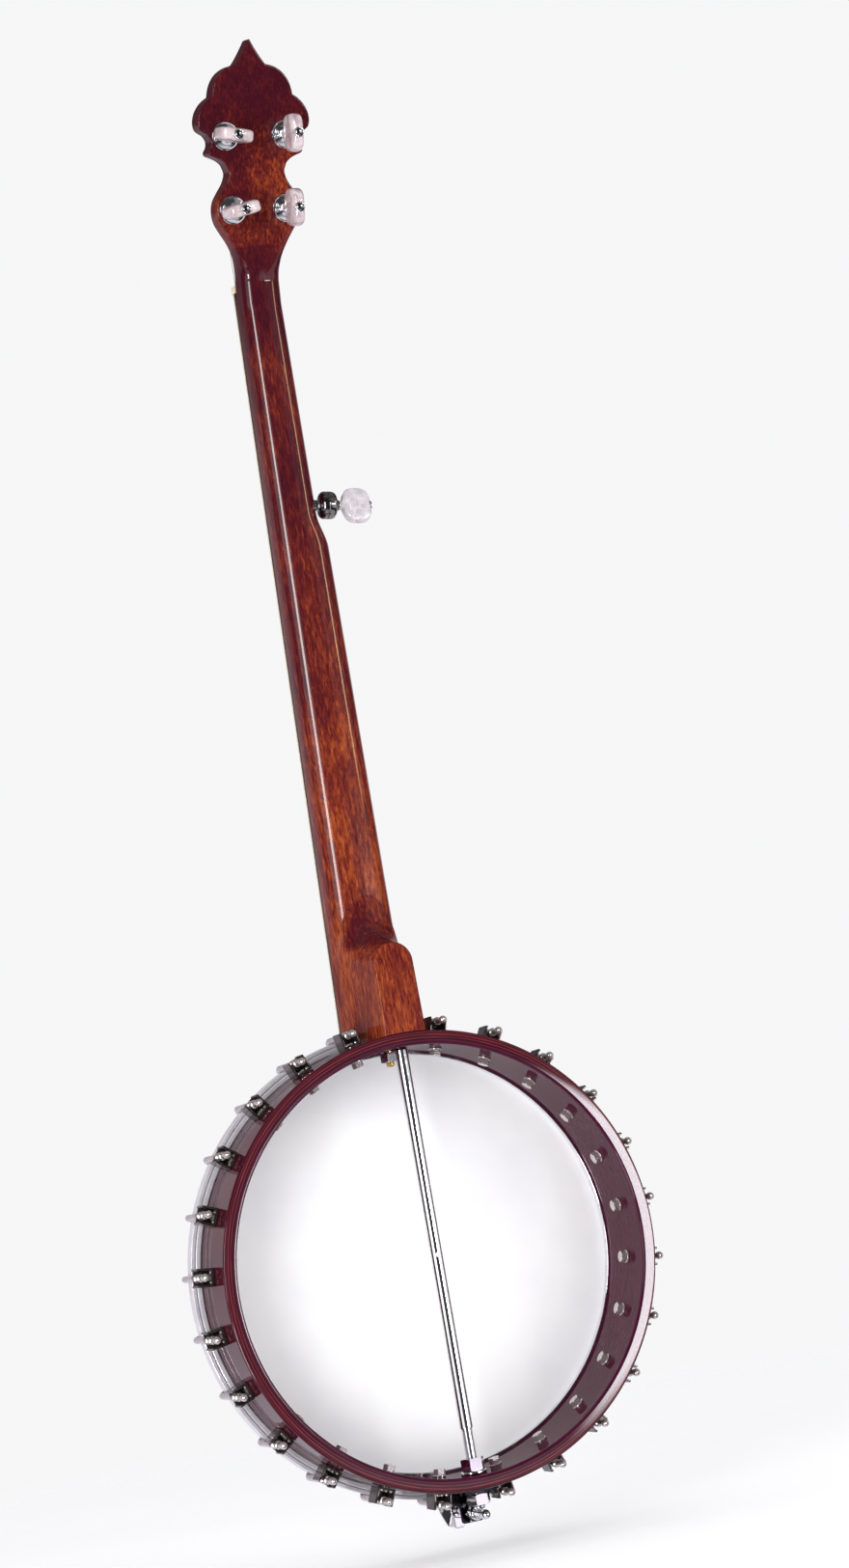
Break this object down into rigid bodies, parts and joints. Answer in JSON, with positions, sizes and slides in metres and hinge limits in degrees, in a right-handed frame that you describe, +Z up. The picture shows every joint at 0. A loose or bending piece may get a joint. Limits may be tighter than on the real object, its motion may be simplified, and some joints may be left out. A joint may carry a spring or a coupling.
{
  "type": "five-string banjo",
  "caption": "Open-back five-string banjo: a laminated drum rim with a skin held by hook brackets, a long neck with a pointed scalloped headstock, and geared tuning pegs.",
  "frame": {"origin": "middle of the neck's thickness just below the nut, where a wall hanger's yoke or a stand's fork carries the instrument", "axes": "+Z runs up the neck to the headstock, +Y out of the back of the instrument, +X towards the treble (first string) side"},
  "size_m": [0.301, 0.1167, 0.9491],
  "materials": {
    "mahogany": "high-gloss lacquer over red-brown stained mahogany",
    "rosewood": "oiled, open grain",
    "maple_rim": "mirror-gloss lacquer over dark red stained maple plies",
    "maple": "bare, satin",
    "chrome": "bright polished chrome plate",
    "black_chrome": "dark polished plate",
    "pearloid": "polished pinkish pearl plastic",
    "bone": "buffed bone",
    "frosted_skin": "frosted white polyester film",
    "steel_wire": "plain drawn wire"
  },
  "bodies": {
    "root": {"neck": "mahogany", "headstock_veneer": "rosewood", "fingerboard": "rosewood", "string_nut": "bone", "tuner_1_housing": "chrome", "tuner_2_housing": "chrome", "tuner_3_housing": "chrome", "tuner_4_housing": "chrome", "tuner_5_housing": "chrome", "wood_rim": "maple_rim", "tone_ring": "chrome", "tension_hoop": "chrome", "head": "frosted_skin", "bracket_01": "chrome", "bracket_02": "chrome", "bracket_03": "chrome", "bracket_04": "chrome", "bracket_05": "chrome", "bracket_06": "chrome", "bracket_07": "chrome", "bracket_08": "chrome", "bracket_09": "chrome", "bracket_10": "chrome", "bracket_11": "chrome", "bracket_12": "chrome", "bracket_13": "chrome", "bracket_14": "chrome", "bracket_15": "chrome", "bracket_16": "chrome", "bracket_17": "chrome", "bracket_18": "chrome", "bracket_19": "chrome", "bracket_20": "chrome", "bracket_21": "chrome", "bracket_22": "chrome", "bracket_23": "chrome", "bracket_24": "chrome", "coordinator_rod": "chrome", "rod_inner_nut": "chrome", "rod_outer_nut": "chrome", "heel_lag_bolt": "chrome", "tailpiece_bracket": "black_chrome", "tailpiece": "chrome", "tailpiece_bolt": "chrome", "bridge": "maple", "string_1": "steel_wire", "string_2": "steel_wire", "string_3": "steel_wire", "string_4": "steel_wire", "string_5": "steel_wire"},
    "tuner_1_button": {"tuner_1_button": "pearloid"},
    "tuner_1_post": {"tuner_1_post": "chrome"},
    "tuner_2_button": {"tuner_2_button": "pearloid"},
    "tuner_2_post": {"tuner_2_post": "chrome"},
    "tuner_3_button": {"tuner_3_button": "pearloid"},
    "tuner_3_post": {"tuner_3_post": "chrome"},
    "tuner_4_button": {"tuner_4_button": "pearloid"},
    "tuner_4_post": {"tuner_4_post": "chrome"},
    "tuner_5_button": {"tuner_5_button": "pearloid"},
    "tuner_5_post": {"tuner_5_post": "chrome"}
  },
  "joints": [
    {"name": "tuner_1_button_turn", "type": "hinge", "parent": "root", "child": "tuner_1_button", "pos_m": [0.0189, 0.03188, 0.11626], "axis": [0, 0.9367, -0.3502], "continuous": true},
    {"name": "tuner_1_post_turn", "type": "hinge", "parent": "root", "child": "tuner_1_post", "pos_m": [0.0189, 0.03188, 0.11626], "axis": [0, 0.9367, -0.3502], "continuous": true},
    {"name": "tuner_2_button_turn", "type": "hinge", "parent": "root", "child": "tuner_2_button", "pos_m": [-0.0211, 0.03188, 0.11626], "axis": [0, 0.9367, -0.3502], "continuous": true},
    {"name": "tuner_2_post_turn", "type": "hinge", "parent": "root", "child": "tuner_2_post", "pos_m": [-0.0211, 0.03188, 0.11626], "axis": [0, 0.9367, -0.3502], "continuous": true},
    {"name": "tuner_3_button_turn", "type": "hinge", "parent": "root", "child": "tuner_3_button", "pos_m": [0.0169, 0.01559, 0.07271], "axis": [0, 0.9367, -0.3502], "continuous": true},
    {"name": "tuner_3_post_turn", "type": "hinge", "parent": "root", "child": "tuner_3_post", "pos_m": [0.0169, 0.01559, 0.07271], "axis": [0, 0.9367, -0.3502], "continuous": true},
    {"name": "tuner_4_button_turn", "type": "hinge", "parent": "root", "child": "tuner_4_button", "pos_m": [-0.0191, 0.01559, 0.07271], "axis": [0, 0.9367, -0.3502], "continuous": true},
    {"name": "tuner_4_post_turn", "type": "hinge", "parent": "root", "child": "tuner_4_post", "pos_m": [-0.0191, 0.01559, 0.07271], "axis": [0, 0.9367, -0.3502], "continuous": true},
    {"name": "tuner_5_button_turn", "type": "hinge", "parent": "root", "child": "tuner_5_button", "pos_m": [-0.02151, -0.002, -0.12385], "axis": [-0.9957, 0, -0.0924], "continuous": true},
    {"name": "tuner_5_post_turn", "type": "hinge", "parent": "root", "child": "tuner_5_post", "pos_m": [-0.02151, -0.002, -0.12385], "axis": [-0.9957, 0, -0.0924], "continuous": true}
  ],
  "couplings": [
    {"joint": "tuner_1_post_turn", "follows": "tuner_1_button_turn", "ratio": 0.25},
    {"joint": "tuner_2_post_turn", "follows": "tuner_2_button_turn", "ratio": 0.25},
    {"joint": "tuner_3_post_turn", "follows": "tuner_3_button_turn", "ratio": 0.25},
    {"joint": "tuner_4_post_turn", "follows": "tuner_4_button_turn", "ratio": 0.25},
    {"joint": "tuner_5_post_turn", "follows": "tuner_5_button_turn", "ratio": 0.25}
  ]
}
